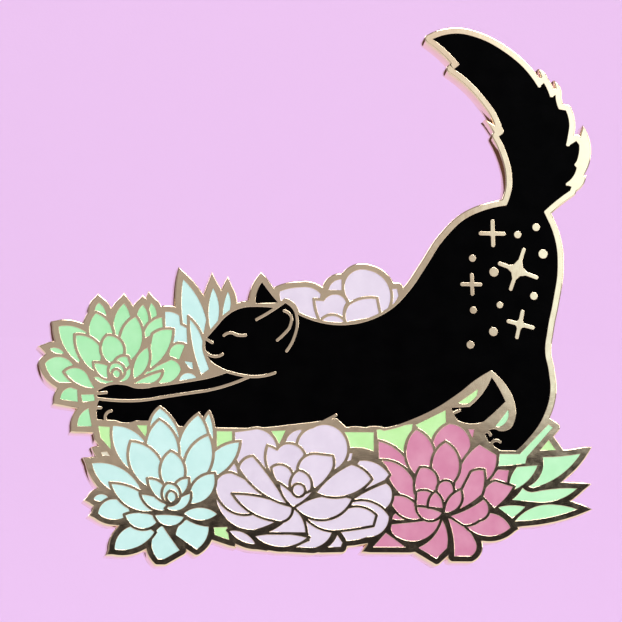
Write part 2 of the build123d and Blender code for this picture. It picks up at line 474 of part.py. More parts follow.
def touches(one, other):
    """Whether two flat shapes' boxes overlap."""
    a, b = one.bounding_box(), other.bounding_box()
    return (a.min.X < b.max.X and b.min.X < a.max.X
            and a.min.Y < b.max.Y and b.min.Y < a.max.Y)


def pockets(shapes, front, extra=()):
    """Cells of a group, each cut back by everything drawn in front of it."""
    cells = []
    for runs in shapes:
        whole = flat(runs, -LINE / 2)
        with BuildSketch() as cell:
            add(whole)
            near = [item for item in [*front, *extra] if touches(item, whole)]
            if near:
                add(near, mode=Mode.SUBTRACT)
        cells += [face for face in cell.sketch.faces() if face.area > MIN_CELL]
        front.append(flat(runs, LINE / 2))
    return cells


def spurs(runs):
    """Pointed metal outside each sharp corner of a shape at the plate's edge."""
    points = [(point, index == 0) for run in runs for index, point in enumerate(run)]
    found = []
    for index, ((x, z), corner) in enumerate(points):
        if not corner:
            continue
        (ax, az), (bx, bz) = points[index - 1][0], points[(index + 1) % len(points)][0]
        a, b = hypot(ax - x, az - z), hypot(bx - x, bz - z)
        ax, az, bx, bz = (ax - x) / a, (az - z) / a, (bx - x) / b, (bz - z) / b
        out_x, out_z = -(ax + bx), -(az + bz)
        size = hypot(out_x, out_z)
        half = degrees(asin(min(1.0, hypot(ax - bx, az - bz) / 2))) + 9
        if size < 0.2 or half > 48:
            continue
        out_x, out_z = out_x / size, out_z / size
        s, c = RIM * sin(radians(half)), RIM * cos(radians(half))
        reach = RIM / sin(radians(half))
        found.append([
            [(x + s * out_x - c * out_z, z + s * out_z + c * out_x)],
            [(x + reach * out_x, z + reach * out_z)],
            [(x + s * out_x + c * out_z, z + s * out_z - c * out_x)],
            [(x - 0.3 * out_x, z - 0.3 * out_z)],
        ])
    return found


def save(piece, label):
    """Name a finished piece and write its file."""
    piece.part.label = label
    export_step(piece.part, f"parts/{label}.step")


# ---------------------------------------------------------------- pockets, front to back
FRONT_FLOWERS = {
    "aqua": (AQUA_HEART, AQUA_INNER, AQUA_OUTER),
    "lilac": (LILAC_HEART, LILAC_INNER, LILAC_OUTER),
    "pink": (PINK_HEART, PINK_INNER, PINK_OUTER),
}
BEHIND = {
    "green_heart": GREEN_HEART,
    "green_inner": GREEN_INNER,
    "green_outer": GREEN_OUTER,
    "spikes": SPIKES,
    "back_lilac": BACK_LILAC,
    "leaves": LEAVES + LEG_MINT,
    "moss": MOSS,
    "cream": CREAM,
}

front = []
cell_groups = {}
for flower, rings in FRONT_FLOWERS.items():
    for ring, shapes in zip(("heart", "inner", "outer"), rings):
        cell_groups[f"{flower}_{ring}"] = pockets(shapes, front)

details = [ridge(points) for points in RIDGES]
details += [star(*values) for values in STARS]
with BuildSketch() as dots:
    for dot_x, dot_z, dot_r in DOTS:
        with Locations((dot_x, dot_z)):
            Circle(dot_r)
details.append(dots.sketch)
cell_groups["cat"] = pockets([CAT_BODY, FAR_EAR, FAR_LEG], front, details)

for name, shapes in BEHIND.items():
    cell_groups[name] = pockets(shapes, front)

EDGE = (AQUA_OUTER + LILAC_OUTER + PINK_OUTER + GREEN_OUTER + GREEN_INNER + SPIKES
        + BACK_LILAC + LEAVES + MOSS + CREAM)
with BuildSketch() as silhouette:
    add([flat(runs, RIM) for runs in EDGE + [CAT_BODY, FAR_EAR, FAR_LEG]])
    add([flat(runs) for runs in TUFTS])
    add([flat(points) for runs in EDGE + [FAR_EAR] for points in spurs(runs)])
with BuildSketch() as outline:
    with BuildLine():
        add(silhouette.sketch.faces().sort_by(SortBy.AREA)[-1].outer_wire().edges())
    make_face()

# ---------------------------------------------------------------- plate
with BuildPart() as base_plate:
    with BuildSketch(Plane.XZ):
        add(outline.sketch)
    extrude(amount=PLATE)
    with BuildSketch(Plane.XZ.offset(FLOOR)):
        for cells in cell_groups.values():
            add(cells)
    extrude(amount=PLATE - FLOOR, mode=Mode.SUBTRACT)

os.makedirs("parts", exist_ok=True)
save(base_plate, "base_plate")

# ---------------------------------------------------------------- enamel fills
for name, cells in cell_groups.items():
    with BuildPart() as fill:
        with BuildSketch(Plane.XZ.offset(FLOOR)):
            add(cells)
        extrude(amount=ENAMEL)
    save(fill, f"enamel_{name}")

# ---------------------------------------------------------------- posts and clutches
with BuildPart() as solder:
    for x in (-POST_X, POST_X):
        with BuildSketch(Plane((x, 0, POST_Z))):
            with BuildLine():
                Polyline((FOOT_R + 0.02, 0), (FOOT_R + SOLDER, 0))
                ThreePointArc((FOOT_R + SOLDER, 0), (FOOT_R + 0.16, 0.12), (FOOT_R + 0.02, 0.3))
                Line((FOOT_R + 0.02, 0.3), (FOOT_R + 0.02, 0))
            make_face()
        revolve(axis=Axis((x, 0, POST_Z), (0, 1, 0)))
save(solder, "solder")

for side, x in (("left", -POST_X), ("right", POST_X)):
    profile = Plane((x, 0, POST_Z))
    post_axis = Axis((x, 0, POST_Z), (0, 1, 0))
    with BuildPart() as post:
        with BuildSketch(profile):
            with BuildLine():
                ThreePointArc(
                    (POST_R, GROOVE_Y - GROOVE_HALF), (POST_R - GROOVE_DEPTH, GROOVE_Y),
                    (POST_R - 0.02, GROOVE_Y + GROOVE_HALF),
                )
                Polyline(
                    (POST_R - 0.02, GROOVE_Y + GROOVE_HALF), (0.12, POST_LENGTH),
                    (0, POST_LENGTH), (0, 0), (FOOT_R, 0), (FOOT_R, FOOT), (POST_R, FOOT),
                    (POST_R, GROOVE_Y - GROOVE_HALF),
                )
            make_face()
        revolve(axis=post_axis)
        foot_edge = post.edges().filter_by(GeomType.CIRCLE).filter_by(
            lambda edge: abs(edge.radius - FOOT_R) < 0.01 and edge.center().Y > FOOT / 2)
        fillet(foot_edge, 0.12)
    save(post, f"post_{side}")

    profile = Plane((x, CLOTH_GAP, POST_Z))
    with BuildPart() as eyelet:
        with BuildSketch(profile):
            with BuildLine():
                Polyline(
                    (EYELET_BORE, 0), (1.7, 0), (1.7, DISC_Y - RUN), (BARREL_R, DISC_Y - RUN),
                    (BARREL_R, DISC_Y + SHEET + RUN), (1.5, DISC_Y + SHEET + RUN),
                    (1.5, DISC_Y + SHEET + RUN + 0.24), (EYELET_BORE, DISC_Y + SHEET + RUN + 0.24),
                    close=True,
                )
            make_face()
        revolve(axis=post_axis)
    save(eyelet, f"guide_eyelet_{side}")

    bead_r = 0.45
    with BuildPart() as disc:
        with BuildSketch(profile):
            with Locations(((BARREL_R + RUN + CLUTCH_R - bead_r) / 2, DISC_Y + SHEET / 2)):
                Rectangle(CLUTCH_R - bead_r - BARREL_R - RUN, SHEET)
            with Locations((CLUTCH_R - bead_r, bead_r)):
                Circle(bead_r)
        revolve(axis=post_axis)
    save(disc, f"clutch_disc_{side}")

    foot_y = DISC_Y + SHEET
    with BuildPart() as cap:
        with BuildSketch(profile.offset(-LEG_Z - SHEET)):
            with BuildLine():
                Polyline((-LEG_X, foot_y), (LEG_X, foot_y), (LEG_X, PIVOT_Y))
                ThreePointArc((LEG_X, PIVOT_Y), (2.95, PIVOT_Y + 0.62), (CAP_X, CAP_Y + SHEET))
                Line((CAP_X, CAP_Y + SHEET), (-CAP_X, CAP_Y + SHEET))
                ThreePointArc((-CAP_X, CAP_Y + SHEET), (-2.95, PIVOT_Y + 0.62), (-LEG_X, PIVOT_Y))
                Line((-LEG_X, PIVOT_Y), (-LEG_X, foot_y))
            make_face()
        extrude(amount=2 * (LEG_Z + SHEET))
        with BuildSketch(profile):
            with Locations((0, (foot_y + CAP_Y) / 2)):
                Rectangle(2 * LEG_X + 1, CAP_Y - foot_y)
            for way in (-1, 1):
                with Locations((way * (CAP_X + 2), CAP_Y)):
                    Rectangle(4, 2)
        extrude(amount=LEG_Z, both=True, mode=Mode.SUBTRACT)
        with BuildSketch(profile.offset(-LEG_Z - 1)):
            with Locations((-PIVOT_X, PIVOT_Y), (PIVOT_X, PIVOT_Y)):
                Circle(TRUNNION_R + RUN)
        extrude(amount=2 * LEG_Z + 2, mode=Mode.SUBTRACT)
        with Locations(Location((x, CLOTH_GAP + CAP_Y, POST_Z), (90, 0, 0))):
            Cylinder(POST_R + 0.17, 3, mode=Mode.SUBTRACT)
    save(cap, f"clutch_cap_{side}")

    for letter, way in (("a", 1), ("b", -1)):
        with BuildPart() as wing:
            with BuildSketch(profile):
                with BuildLine() as strip:
                    bent = FilletPolyline(
                        (way * 0.06, JAW_Y), (way * PIVOT_X, JAW_Y), (way * PIVOT_X, CAP_Y + 0.2),
                        (way * WING_TIP[0], WING_TIP[1]), radius=0.45,
                    )
                trace(bent, line_width=SHEET)
            extrude(amount=WING_HALF, both=True)
            with BuildSketch(Plane((x, CLOTH_GAP, POST_Z), x_dir=(0, 0, -1), z_dir=(1, 0, 0))):
                with BuildLine():
                    Polyline((-1.6, 1.5), (1.6, 1.5), (1.6, 2.6), (2.28, 2.8), (2.28, CAP_Y + 0.25))
                    ThreePointArc((2.28, CAP_Y + 0.25), (WING_HALF, 5.4), (1.9, WING_TIP[1] + 0.35))
                    ThreePointArc((1.9, WING_TIP[1] + 0.35), (0, WING_TIP[1] - 0.1),
                                  (-1.9, WING_TIP[1] + 0.35))
                    ThreePointArc((-1.9, WING_TIP[1] + 0.35), (-WING_HALF, 5.4),
                                  (-2.28, CAP_Y + 0.25))
                    Polyline((-2.28, CAP_Y + 0.25), (-2.28, 2.8), (-1.6, 2.6), (-1.6, 1.5))
                make_face()
            extrude(amount=8, both=True, mode=Mode.INTERSECT)
            with Locations((x + way * PIVOT_X, CLOTH_GAP + PIVOT_Y, POST_Z)):
                Cylinder(0.42, 2 * 2.28)
                Cylinder(TRUNNION_R, 2 * (LEG_Z + SHEET + 0.1))
            with Locations(Location((x, CLOTH_GAP + JAW_Y, POST_Z), (90, 0, 0))):
                Cylinder(POST_R + 0.07, 2, mode=Mode.SUBTRACT)
        save(wing, f"wing_{side}_{letter}")
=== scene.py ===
"""Looks, light and camera of the enamel lapel pin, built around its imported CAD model."""

import json
import logging
import math
from dataclasses import dataclass, field
from enum import Enum
from typing import Callable

import bmesh
import bpy
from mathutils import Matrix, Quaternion, Vector


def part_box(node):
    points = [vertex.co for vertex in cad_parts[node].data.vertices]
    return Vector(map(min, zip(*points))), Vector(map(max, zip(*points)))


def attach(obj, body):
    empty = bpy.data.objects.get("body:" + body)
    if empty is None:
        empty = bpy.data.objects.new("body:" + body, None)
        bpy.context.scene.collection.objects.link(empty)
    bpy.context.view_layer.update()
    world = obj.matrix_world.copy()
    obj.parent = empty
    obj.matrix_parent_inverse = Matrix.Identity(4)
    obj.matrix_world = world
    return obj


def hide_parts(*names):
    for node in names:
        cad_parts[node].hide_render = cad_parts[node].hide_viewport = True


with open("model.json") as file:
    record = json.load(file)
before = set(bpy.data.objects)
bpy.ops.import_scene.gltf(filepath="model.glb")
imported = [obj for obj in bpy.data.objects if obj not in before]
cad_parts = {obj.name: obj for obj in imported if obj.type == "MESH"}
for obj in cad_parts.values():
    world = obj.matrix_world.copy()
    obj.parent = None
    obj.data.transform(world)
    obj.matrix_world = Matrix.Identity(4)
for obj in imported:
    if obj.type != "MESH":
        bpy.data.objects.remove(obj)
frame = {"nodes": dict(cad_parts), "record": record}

MM = 0.001
WELD = 0.5e-6
LOG = logging.getLogger("lapel_pin")
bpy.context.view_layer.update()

Point = tuple[float, float]
Colour = tuple[float, float, float]
Socket = bpy.types.NodeSocket


class Side(Enum):
    """A flat side of the plate, by the way it faces along Y."""

    FRONT = -1
    BACK = 1


class Shade(Enum):
    """The enamel colours, as linear red, green and blue."""

    BLACK = (0.0008, 0.0008, 0.0010)
    AQUA = (0.59, 0.93, 0.90)
    LILAC = (0.77, 0.71, 0.87)
    PINK = (0.68, 0.26, 0.42)
    GREEN = (0.41, 0.90, 0.48)
    MINT = (0.50, 0.97, 0.58)
    LIME = (0.54, 0.96, 0.41)
    CREAM = (0.78, 0.76, 0.60)


# ---------------------------------------------------------------- finishes


class ShaderTree:
    """A material's node tree, with short ways to add nodes and join them."""

    def __init__(self, name: str) -> None:
        """Starts a material with one principled shader.

        Args:
            name: The material's name.
        """
        self.material = bpy.data.materials.new(name)
        self.material.use_nodes = True
        self.tree = self.material.node_tree
        self.shader = self.tree.nodes["Principled BSDF"]
        self.place = self.add("ShaderNodeTexCoord").outputs["Object"]

    def add(self, kind: str, **inputs: object) -> bpy.types.Node:
        """Adds a node.

        Args:
            kind: The node's type name.
            inputs: Values or output sockets for its inputs, with _ for a space.

        Returns:
            The new node.
        """
        node = self.tree.nodes.new(kind)
        for label, value in inputs.items():
            self.feed(node.inputs[label.replace("_", " ")], value)
        return node

    def feed(self, socket: Socket, value: object) -> None:
        """Gives an input a value, or joins an output to it."""
        if isinstance(value, bpy.types.NodeSocket):
            self.tree.links.new(value, socket)
        else:
            socket.default_value = value

    def grain(self, size: float, detail: float = 3.0, stretch: Colour = (1, 1, 1)) -> Socket:
        """Adds a noise.

        Args:
            size: The noise's grain in metres.
            detail: How many finer layers it has.
            stretch: Scale of the place along each axis.

        Returns:
            The noise's value, from 0 to 1.
        """
        place = self.add("ShaderNodeMapping", Vector=self.place, Scale=stretch)
        noise = self.add(
            "ShaderNodeTexNoise", Vector=place.outputs[0], Scale=1 / size, Detail=detail
        )
        return noise.outputs[0]

    def span(self, value: Socket, low: float, high: float, start: float, end: float) -> Socket:
        """Maps a value's range low..high onto start..end, held at both ends."""
        node = self.add("ShaderNodeMapRange", Value=value)
        for label, number in zip(
            ("From Min", "From Max", "To Min", "To Max"), (low, high, start, end)
        ):
            node.inputs[label].default_value = number
        return node.outputs[0]

    def blend(self, amount: Socket, one: Colour, other: Colour) -> Socket:
        """Mixes two colours by a value from 0 to 1."""
        node = self.tree.nodes.new("ShaderNodeMix")
        node.data_type = "RGBA"
        self.feed(node.inputs[0], amount)
        node.inputs[6].default_value = (*one, 1)
        node.inputs[7].default_value = (*other, 1)
        return node.outputs[2]

    def math(self, operation: str, one: Socket, other: Socket) -> Socket:
        """Joins two values by an operation."""
        node = self.tree.nodes.new("ShaderNodeMath")
        node.operation = operation
        self.feed(node.inputs[0], one)
        self.feed(node.inputs[1], other)
        return node.outputs[0]

    def relief(self, height: Socket, depth: float, below: Socket | None = None) -> Socket:
        """Adds a bump.

        Args:
            height: The height from 0 to 1.
            depth: The height of 1, in metres.
            below: Another bump's normal that this one lies on.

        Returns:
            The bumped normal.
        """
        bump = self.add("ShaderNodeBump", Height=height, Distance=depth, Strength=1.0)
        if below is not None:
            self.feed(bump.inputs["Normal"], below)
        return bump.outputs[0]


@dataclass(frozen=True)
class Plating:
    """A plated or bare metal with fine scratches and a soft waviness.

    Attributes:
        colour: Colour of the metal where it is bright.
        tarnish: Colour of its darker patches.
        polish: Lowest roughness.
        wear: Highest roughness.
        waviness: Height of the soft hammered relief, in metres.
        scratch: Height of the fine scratches, in metres.
    """

    colour: Colour = (0.95, 0.80, 0.58)
    tarnish: Colour = (0.84, 0.64, 0.42)
    polish: float = 0.035
    wear: float = 0.09
    waviness: float = 1.5e-6
    scratch: float = 0.3e-6

    def material(self, name: str) -> bpy.types.Material:
        """Makes the material."""
        tree = ShaderTree(name)
        patches = tree.grain(1.6 * MM, 4.0)
        hairlines = tree.grain(0.05 * MM, 2.0, (0.08, 1.0, 1.0))
        crossing = tree.grain(0.06 * MM, 2.0, (1.0, 1.0, 0.07))
        tree.feed(
            tree.shader.inputs["Base Color"],
            tree.blend(tree.span(patches, 0.42, 0.72, 0.0, 0.3), self.colour, self.tarnish),
        )
        tree.feed(
            tree.shader.inputs["Roughness"],
            tree.span(tree.grain(0.7 * MM, 3.0), 0.35, 0.7, self.polish, self.wear),
        )
        tree.shader.inputs["Metallic"].default_value = 1.0
        waves = tree.relief(tree.grain(0.9 * MM, 1.0), self.waviness)
        lines = tree.relief(hairlines, self.scratch, waves)
        tree.feed(tree.shader.inputs["Normal"], tree.relief(crossing, self.scratch, lines))
        return tree.material


@dataclass(frozen=True)
class HardEnamel:
    """Ground and polished enamel: an even colour with faint clouds and fine polish marks.

    Attributes:
        shade: Which colour it is.
        cloud: How much paler the faint clouds are, from 0 to 1.
        gloss: Roughness of the polished surface.
        mirror: Strength of its reflections, from 0 to 1.
    """

    shade: Shade
    cloud: float = 0.25
    gloss: float = 0.16
    mirror: float = 0.4

    def material(self, name: str) -> bpy.types.Material:
        """Makes the material."""
        tree = ShaderTree(name)
        colour: Colour = self.shade.value
        pale: Colour = tuple(c + (1 - c) * 0.35 * self.cloud for c in colour)
        deep: Colour = tuple(c * (1 - 0.22 * self.cloud) for c in colour)
        clouds = tree.span(tree.grain(1.9 * MM, 3.0), 0.34, 0.68, 0.0, 1.0)
        tree.feed(tree.shader.inputs["Base Color"], tree.blend(clouds, deep, pale))
        tree.feed(
            tree.shader.inputs["Roughness"],
            tree.span(tree.grain(0.5 * MM, 4.0), 0.4, 0.7, self.gloss, self.gloss + 0.10),
        )
        tree.shader.inputs["Specular IOR Level"].default_value = self.mirror
        soft = tree.relief(tree.grain(1.4 * MM, 1.0), 2.5e-6)
        marks = tree.grain(0.045 * MM, 2.0, (1.0, 1.0, 0.1))
        tree.feed(tree.shader.inputs["Normal"], tree.relief(marks, 0.15e-6, soft))
        return tree.material


@dataclass(frozen=True)
class Plain:
    """Matt paper for a card that stands around the pin.

    Attributes:
        colour: The surface's colour.
    """

    colour: Colour

    def material(self, name: str) -> bpy.types.Material:
        """Makes the material."""
        tree = ShaderTree(name)
        fibre = tree.grain(0.6 * MM, 4.0)
        tree.feed(
            tree.shader.inputs["Base Color"],
            tree.blend(fibre, self.colour, tuple(c * 0.97 for c in self.colour)),
        )
        tree.shader.inputs["Roughness"].default_value = 0.9
        return tree.material


@dataclass(frozen=True)
class Sweep:
    """Matt paper that is neutral on the floor and tinted on the wall behind.

    Attributes:
        floor: Its colour on the floor.
        wall: Its colour on the wall.
        turn_from: Place along Y where the floor's colour ends.
        turn_to: Place along Y where the wall's colour starts.
    """

    floor: Colour
    wall: Colour
    turn_from: float = 0.30
    turn_to: float = 0.65

    def material(self, name: str) -> bpy.types.Material:
        """Makes the material."""
        tree = ShaderTree(name)
        split = tree.add("ShaderNodeSeparateXYZ", Vector=tree.place)
        tree.feed(
            tree.shader.inputs["Base Color"],
            tree.blend(
                tree.span(split.outputs[1], self.turn_from, self.turn_to, 0.0, 1.0),
                self.floor,
                self.wall,
            ),
        )
        fibre = tree.grain(0.6 * MM, 4.0)
        tree.feed(tree.shader.inputs["Normal"], tree.relief(fibre, 2e-5))
        tree.shader.inputs["Roughness"].default_value = 0.9
        return tree.material


@dataclass(frozen=True)
class GlowCard:
    """A dark card whose own soft light grows from its lower part to its top.

    Attributes:
        dark_below: Height under which it stays dark at its left, in metres.
        even_from: Height where its even part starts.
        rise_from: Height where its light starts to grow towards the top.
        bright_from: Height where its bright top starts.
        even: Strength of the even part.
        bright: Strength of the bright top.
        right_glow: Strength that its right side adds, away from the dark part.
        lean: How much higher the dark part reaches on the right, in metres.
        lean_span: Places along X between which the dark part climbs.
        right_span: Places along X between which the right side's light grows.
        right_rise: Heights between which the right side's light grows.
        warm: Colour of its even light.
        cool: Colour of its right side's light.
    """

    dark_below: float = 0.121
    even_from: float = 0.137
    rise_from: float = 0.20
    bright_from: float = 0.30
    even: float = 0.40
    bright: float = 0.80
    right_glow: float = 0.8
    lean: float = 0.032
    lean_span: Point = (0.09, 0.28)
    right_span: Point = (0.245, 0.272)
    right_rise: Point = (0.150, 0.175)
    warm: Colour = (1.0, 0.92, 0.90)
    cool: Colour = (0.84, 0.98, 1.0)

    def material(self, name: str) -> bpy.types.Material:
        """Makes the material."""
        tree = ShaderTree(name)
        split = tree.add("ShaderNodeSeparateXYZ", Vector=tree.place)
        across, height = split.outputs[0], split.outputs[2]
        climb = tree.span(across, *self.lean_span, 0.0, self.lean)
        slanted = tree.math("SUBTRACT", height, climb)
        lower = tree.span(slanted, self.dark_below, self.even_from, 0.004, self.even)
        gain = self.bright - self.even
        upper = tree.span(height, self.rise_from, self.bright_from, 0.0, gain)
        side = tree.math(
            "MULTIPLY",
            tree.span(across, *self.right_span, 0.0, self.right_glow),
            tree.span(height, *self.right_rise, 0.0, 1.0),
        )
        glow = tree.math("ADD", tree.math("ADD", lower, upper), side)
        tree.feed(tree.shader.inputs["Emission Strength"], glow)
        share = tree.span(side, 0.0, self.right_glow, 0.0, 1.0)
        tree.feed(
            tree.shader.inputs["Emission Color"], tree.blend(share, self.warm, self.cool)
        )
        tree.shader.inputs["Base Color"].default_value = (0.01, 0.01, 0.01, 1)
        tree.shader.inputs["Roughness"].default_value = 1.0
        return tree.material


# ---------------------------------------------------------------- mesh work


def object_of(name: str, verts: list[Vector], faces: list[tuple[int, ...]]) -> bpy.types.Object:
    """Makes a mesh object with smooth curved faces, and plain shading on faces square to Y.

    Args:
        name: The piece's name.
        verts: Places of the corners.
        faces: Corner numbers of each face.

    Returns:
        The object, linked to the scene.
    """
    mesh = bpy.data.meshes.new(name)
    mesh.from_pydata(verts, [], faces)
    mesh.validate()
    bm = bmesh.new()
    bm.from_mesh(mesh)
    bmesh.ops.remove_doubles(bm, verts=bm.verts, dist=WELD / 4)
    bmesh.ops.recalc_face_normals(bm, faces=bm.faces)
    bm.to_mesh(mesh)
    bm.free()
    mesh.set_sharp_from_angle(angle=math.radians(32))
    mesh.polygons.foreach_set("use_smooth", [abs(p.normal.y) < 0.9999 for p in mesh.polygons])
    made = bpy.data.objects.new(name, mesh)
    bpy.context.scene.collection.objects.link(made)
    return made


@dataclass(frozen=True)
class Edging:
    """How a flat face meets its walls, as rings from the wall to the flat.

    Attributes:
        reach: How far the rings go in from the wall, in metres.
        drop: Height of the wall's top below the flat face, negative where it stands above.
        rings: How many steps the curve has.
    """

    reach: float
    drop: float
    rings: int = 3

    def ring(self, number: int) -> Point:
        """Inset and drop of one ring: a quarter round from the wall to the flat."""
        turn = math.radians(90) * number / self.rings
        return self.reach * (1 - math.cos(turn)), self.drop * (1 - math.sin(turn))


@dataclass
class FaceEdger:
    """Copies a node's shape and gives the walls of one or both flat sides a rounded edge.

    Attributes:
        node: Name of the CAD node.
        choose: Gives the edging of a corner from its place and its side.
        sides: The sides that get an edge.
    """

    node: str
    choose: Callable[[Vector, Side], Edging]
    sides: tuple[Side, ...] = (Side.FRONT,)
    verts: list[Vector] = field(default_factory=list)
    faces: list[tuple[int, ...]] = field(default_factory=list)

    def read(self) -> None:
        """Reads the node's mesh with the doubled corners of its faces joined."""
        bm = bmesh.new()
        bm.from_mesh(frame["nodes"][self.node].data)
        bmesh.ops.remove_doubles(bm, verts=bm.verts, dist=WELD)
        bm.verts.ensure_lookup_table()
        self.verts = [v.co.copy() for v in bm.verts]
        self.faces = [tuple(v.index for v in f.verts) for f in bm.faces]
        bm.free()

    def edge_side(self, side: Side) -> None:
        """Rounds the boundary of the flat face on one side.

        Args:
            side: The side to work on.
        """
        level = min(v.y * -side.value for v in self.verts) * -side.value
        flat = [
            i
            for i, face in enumerate(self.faces)
            if all(abs(self.verts[v].y - level) < WELD for v in face)
        ]
        owners: dict[frozenset[int], list[int]] = {}
        for i in flat:
            face = self.faces[i]
            for a, b in zip(face, face[1:] + face[:1]):
                owners.setdefault(frozenset((a, b)), []).append(i)
        border = {edge: users[0] for edge, users in owners.items() if len(users) == 1}
        inward = self.inward_ways(border)
        last: dict[int, int] = {}
        chains: dict[int, list[int]] = {}
        for v, way in inward.items():
            here = self.verts[v].copy()
            edging = self.choose(here, side)
            chain = []
            for number in range(edging.rings + 1):
                inset, drop = edging.ring(number)
                place = here + way * inset
                place.y = level - side.value * drop
                if number == 0:
                    self.verts[v] = place
                    chain.append(v)
                else:
                    chain.append(len(self.verts))
                    self.verts.append(place)
            chains[v] = chain
            last[v] = chain[-1]
        for edge in border:
            a, b = tuple(edge)
            for a0, a1, b0, b1 in zip(chains[a], chains[a][1:], chains[b], chains[b][1:]):
                self.faces.append((a0, b0, b1, a1))
        for i in flat:
            self.faces[i] = tuple(last.get(v, v) for v in self.faces[i])

    def inward_ways(self, border: dict[frozenset[int], int]) -> dict[int, Vector]:
        """Finds the way into the flat face at each corner of its border.

        Args:
            border: The border's edges, each with the number of its face.

        Returns:
            For each corner, the mitred way in, for an inset of 1.
        """
        normals: dict[int, list[Vector]] = {}
        for edge, owner in border.items():
            a, b = tuple(edge)
            third = next(v for v in self.faces[owner] if v not in edge)
            along = self.verts[b] - self.verts[a]
            normal = Vector((-along.z, 0.0, along.x)).normalized()
            if normal.dot(self.verts[third] - self.verts[a]) < 0:
                normal = -normal
            normals.setdefault(a, []).append(normal)
            normals.setdefault(b, []).append(normal)
        ways: dict[int, Vector] = {}
        for v, found in normals.items():
            total = sum(found, Vector())
            if total.length < 0.05:
                ways[v] = found[0]
                continue
            half = total.normalized()
            ways[v] = half / max(half.dot(found[0]), 0.55)
        return ways

    def build(self, name: str) -> bpy.types.Object:
        """Makes the edged piece.

        Args:
            name: The piece's name.

        Returns:
            The new object.
        """
        self.read()
        for side in self.sides:
            self.edge_side(side)
        return object_of(name, self.verts, self.faces)


@dataclass(frozen=True)
class Turned:
    """A round piece spun from a closed profile of radius and height along +Y, in millimetres."""

    profile: tuple[Point, ...]
    steps: int = 96

    def build(self, name: str, foot: Vector) -> bpy.types.Object:
        """Spins the profile.

        Args:
            name: The piece's name.
            foot: Where the axis starts.

        Returns:
            The new object.
        """
        verts: list[Vector] = []
        count = len(self.profile)
        for step in range(self.steps):
            turn = 2 * math.pi * step / self.steps
            for radius, height in self.profile:
                way = Vector((math.cos(turn) * radius, height, math.sin(turn) * radius))
                verts.append(foot + way * MM)
        faces = []
        for step in range(self.steps):
            here, after = step * count, (step + 1) % self.steps * count
            for k in range(count):
                following = (k + 1) % count
                faces.append((here + k, here + following, after + following, after + k))
        return object_of(name, verts, faces)


def round_corner(corner: Point, before: Point, after: Point, radius: float) -> list[Point]:
    """Rounds one corner of a profile.

    Args:
        corner: The sharp corner.
        before: The profile's point before it.
        after: The profile's point after it.
        radius: How far from the corner the curve starts, along both sides.

    Returns:
        Points of the curve.
    """
    c = Vector(corner)
    start = c + (Vector(before) - c).normalized() * radius
    end = c + (Vector(after) - c).normalized() * radius
    points = []
    for step in range(5):
        t = step / 4
        p = start * (1 - t) ** 2 + c * (2 * t * (1 - t)) + end * t**2
        points.append((p.x, p.y))
    return points


def softened(points: list[Point], radius: float) -> tuple[Point, ...]:
    """Rounds every corner of a closed profile that isn't on its axis."""
    out: list[Point] = []
    for k, corner in enumerate(points):
        before, after = points[k - 1], points[(k + 1) % len(points)]
        if corner[0] < 0.01:
            out.append(corner)
        else:
            out.extend(round_corner(corner, before, after, radius))
    return tuple(out)


def dress(
    piece: bpy.types.Object, material: bpy.types.Material, body: str, slot: str, *nodes: str
) -> None:
    """Gives a piece its material and body, and lets it stand for CAD nodes.

    Args:
        piece: The piece.
        material: Its material.
        body: The CAD body that it rides on.
        slot: The record's material slot; not used.
        nodes: The CAD nodes that it stands for.
    """
    piece.data.materials.clear()
    piece.data.materials.append(material)
    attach(piece, body)
    if nodes:
        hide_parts(*nodes)
    LOG.info("%s: %d faces, on %s", piece.name, len(piece.data.polygons), body)


# ---------------------------------------------------------------- the pin's pieces


@dataclass
class StruckPlate:
    """The die-struck plate: rim, raised lines, cell walls and back.

    Attributes:
        rim_round: Radius of the polished outer edge in front.
        line_round: Radius of the lines' edges.
        back_round: Radius of the outer edge behind.
    """

    rim_round: float = 0.12 * MM
    line_round: float = 0.03 * MM
    back_round: float = 0.10 * MM
    finish: Plating = Plating()

    def build(self) -> None:
        """Builds the plate with rounded edges."""
        outline = self.outline_corners()

        def choose(place: Vector, side: Side) -> Edging:
            if side is Side.BACK:
                return Edging(self.back_round, self.back_round)
            if (round(place.x, 6), round(place.z, 6)) in outline:
                return Edging(self.rim_round, self.rim_round, 5)
            return Edging(self.line_round, self.line_round)

        plate = FaceEdger("base_plate", choose, (Side.FRONT, Side.BACK)).build("struck_plate")
        dress(plate, self.finish.material("pale_gold"), "pin", "plate_metal", "base_plate")

    def outline_corners(self) -> set[Point]:
        """Places of the outline's corners, read from the plate's back."""
        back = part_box("base_plate")[1].y
        return {
            (round(v.co.x, 6), round(v.co.z, 6))
            for v in frame["nodes"]["base_plate"].data.vertices
            if abs(v.co.y - back) < WELD
        }


